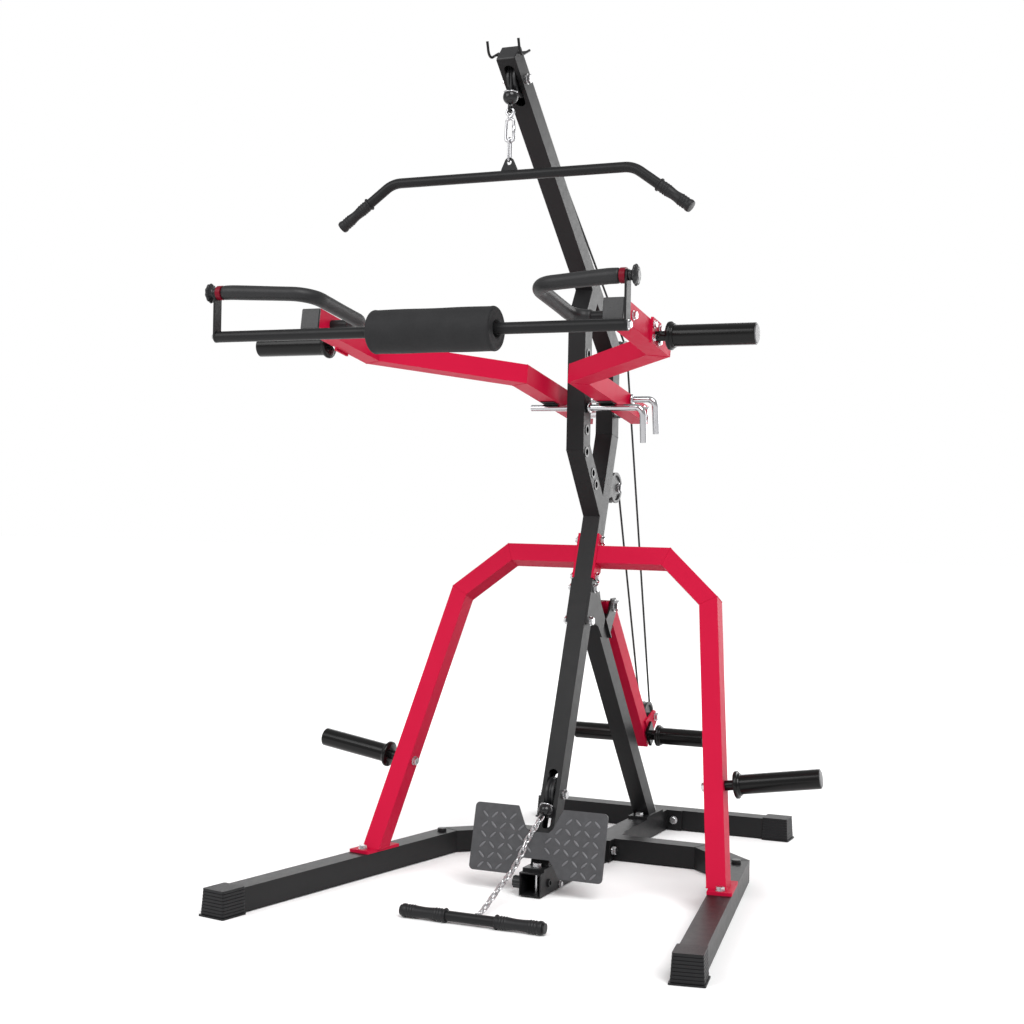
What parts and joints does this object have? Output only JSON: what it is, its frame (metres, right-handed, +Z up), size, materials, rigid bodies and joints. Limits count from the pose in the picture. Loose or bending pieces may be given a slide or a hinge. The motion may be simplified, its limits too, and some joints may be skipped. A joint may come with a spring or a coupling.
{
  "type": "multi station home gym",
  "caption": "Plate loaded home gym with two press arms and a swinging roller, a lat pulldown tower, a low row cable, a weight lever and plate storage on a wide welded base.",
  "frame": {"origin": "on the floor, under the middle of the base beam's open front end", "axes": "+X to the right of a user who faces the gym, +Y to the back, +Z up"},
  "size_m": [1.4216, 1.8603, 2.127],
  "materials": {
    "crimson_paint": "crimson powder coat, semi gloss",
    "black_paint": "black powder coat with a fine texture",
    "grey_paint": "light grey powder coat",
    "tread_plate": "black coated tread plate",
    "gloss_sleeve": "glossy black sleeve",
    "black_plastic": "moulded black plastic",
    "boot_rubber": "ribbed black rubber",
    "grip_rubber": "ribbed black rubber grip",
    "foam": "matte black foam",
    "pulley_nylon": "black nylon",
    "zinc": "zinc plated steel",
    "chrome": "polished chrome",
    "cable_coat": "black coated steel cable",
    "stop_ball": "black rubber stop ball"
  },
  "bodies": {
    "frame": {"base_beam": "black_paint", "rear_crossbeam": "black_paint", "front_leg_left": "black_paint", "front_leg_right": "black_paint", "tube_plugs": "black_plastic", "base_boots": "boot_rubber", "mast": "black_paint", "lat_tower": "black_paint", "pin_post": "black_paint", "pin_bushes": "black_plastic", "arch_left": "crimson_paint", "arch_right": "crimson_paint", "rear_strut": "black_paint", "lever_bracket": "grey_paint", "lever_bumper": "boot_rubber", "foot_plate": "tread_plate", "storage_horns": "gloss_sleeve", "pulley_brackets": "grey_paint", "frame_axles": "zinc", "frame_bolts": "zinc", "arm_pivot_shaft": "zinc", "cable": "cable_coat"},
    "top_wheel": {"top_pulley": "pulley_nylon"},
    "guide_wheel": {"guide_pulley": "pulley_nylon"},
    "back_wheel": {"back_pulley": "pulley_nylon"},
    "low_wheel": {"low_pulley": "pulley_nylon"},
    "front_knob": {"receiver_knob": "black_plastic"},
    "lever": {"weight_lever": "crimson_paint", "lever_horns": "gloss_sleeve", "lever_axle": "zinc"},
    "lever_wheel": {"lever_pulley": "pulley_nylon"},
    "left_arm": {"press_arm_left": "crimson_paint", "arm_end_cap_left": "black_plastic", "arm_rest_left": "boot_rubber", "arm_bolts_left": "zinc", "press_horn_left": "gloss_sleeve", "handle_left": "black_paint", "handle_foam_left": "foam"},
    "right_arm": {"press_arm_right": "crimson_paint", "arm_end_cap_right": "black_plastic", "arm_rest_right": "boot_rubber", "arm_bolts_right": "zinc", "press_horn_right": "gloss_sleeve", "handle_right": "black_paint", "handle_foam_right": "foam"},
    "left_knob": {"grip_knob_left": "black_plastic"},
    "right_knob": {"grip_knob_right": "black_plastic"},
    "roller": {"roller_bar": "black_paint", "grip_collars": "crimson_paint"},
    "roller_foam": {"foam_roller": "foam"},
    "upper_pin": {"rest_pin": "chrome"},
    "joining_pin": {"link_pin": "chrome"},
    "lat": {"lat_stop": "stop_ball", "lat_carabiner": "chrome", "lat_bar": "black_paint", "lat_grips": "grip_rubber"},
    "row": {"row_stop": "stop_ball", "row_chain": "zinc", "row_bar": "black_paint", "row_grips": "grip_rubber"}
  },
  "joints": [
    {"name": "left_arm_lift", "type": "hinge", "parent": "frame", "child": "left_arm", "pos_m": [0, 0.5, 1.2755], "axis": [-1, 0, 0], "range_deg": [0, 18]},
    {"name": "right_arm_lift", "type": "hinge", "parent": "frame", "child": "right_arm", "pos_m": [0, 0.5, 1.2755], "axis": [-1, 0, 0], "range_deg": [0, 18]},
    {"name": "lever_lift", "type": "hinge", "parent": "frame", "child": "lever", "pos_m": [0, 0.497, 0.727], "axis": [-1, 0, 0], "range_deg": [-27, 0], "deforming": ["cable"]},
    {"name": "lat_pull", "type": "slide", "parent": "frame", "child": "lat", "axis": [0, 0, 1], "range_m": [-0.3, 0]},
    {"name": "row_pull", "type": "slide", "parent": "frame", "child": "row", "axis": [0, -1, 0], "range_m": [0, 0.38]},
    {"name": "roller_swing", "type": "hinge", "parent": "left_arm", "child": "roller", "pos_m": [0, -0.71581, 1.4746], "axis": [1, 0, 0], "range_deg": [-40, 40]},
    {"name": "foam_roller_spin", "type": "hinge", "parent": "roller", "child": "roller_foam", "pos_m": [0, -0.71581, 1.3746], "axis": [1, 0, 0], "continuous": true},
    {"name": "left_knob_turn", "type": "hinge", "parent": "left_arm", "child": "left_knob", "pos_m": [0, -0.71581, 1.4746], "axis": [1, 0, 0], "continuous": true},
    {"name": "right_knob_turn", "type": "hinge", "parent": "right_arm", "child": "right_knob", "pos_m": [0, -0.71581, 1.4746], "axis": [1, 0, 0], "continuous": true},
    {"name": "rest_pin_pull", "type": "slide", "parent": "frame", "child": "upper_pin", "axis": [1, 0, 0], "range_m": [0, 0.3]},
    {"name": "link_pin_pull", "type": "slide", "parent": "right_arm", "child": "joining_pin", "axis": [1, 0, 0], "range_m": [0, 0.25]},
    {"name": "front_knob_turn", "type": "hinge", "parent": "frame", "child": "front_knob", "pos_m": [0, 0.022, 0.033], "axis": [1, 0, 0], "continuous": true},
    {"name": "top_pulley_spin", "type": "hinge", "parent": "frame", "child": "top_wheel", "pos_m": [0, -0.17, 2.052], "axis": [1, 0, 0], "continuous": true},
    {"name": "guide_pulley_spin", "type": "hinge", "parent": "frame", "child": "guide_wheel", "pos_m": [0, 0.615, 1.445], "axis": [1, 0, 0], "continuous": true},
    {"name": "back_pulley_spin", "type": "hinge", "parent": "frame", "child": "back_wheel", "pos_m": [0, 0.558, 1.062], "axis": [1, 0, 0], "continuous": true},
    {"name": "low_pulley_spin", "type": "hinge", "parent": "frame", "child": "low_wheel", "pos_m": [0, 0.161, 0.243], "axis": [1, 0, 0], "continuous": true},
    {"name": "lever_pulley_spin", "type": "hinge", "parent": "lever", "child": "lever_wheel", "pos_m": [0, 0.882, 0.37], "axis": [1, 0, 0], "continuous": true}
  ],
  "couplings": [
    {"joint": "right_arm_lift", "follows": "left_arm_lift", "ratio": 1},
    {"joint": "lat_pull", "follows": "lever_lift", "m_per_rad": 0.63656}
  ]
}
